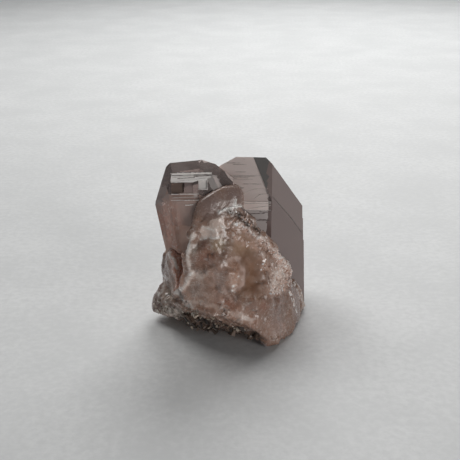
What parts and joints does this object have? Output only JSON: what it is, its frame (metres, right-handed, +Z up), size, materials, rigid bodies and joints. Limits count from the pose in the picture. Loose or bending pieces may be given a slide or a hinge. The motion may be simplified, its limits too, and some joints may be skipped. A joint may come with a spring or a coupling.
{
  "type": "smoky quartz crystal cluster",
  "caption": "Smoky quartz specimen: a tall crystal and a leaning one grown together on a broken, crusted quartz foot that stands flat.",
  "frame": {"origin": "middle of the underside of the bounding box, on the flat that the specimen rests on", "axes": "+Z up along the tall crystal, which is the longest extent; -Y is the broken, crusted front; +X is to the right seen from the front"},
  "size_m": [0.0378, 0.0366, 0.0423],
  "materials": {
    "smoky_quartz": "glossy crystal faces, satin to frosted on broken surfaces"
  },
  "bodies": {
    "root": {"smoky_quartz_cluster": "smoky_quartz"}
  },
  "joints": []
}
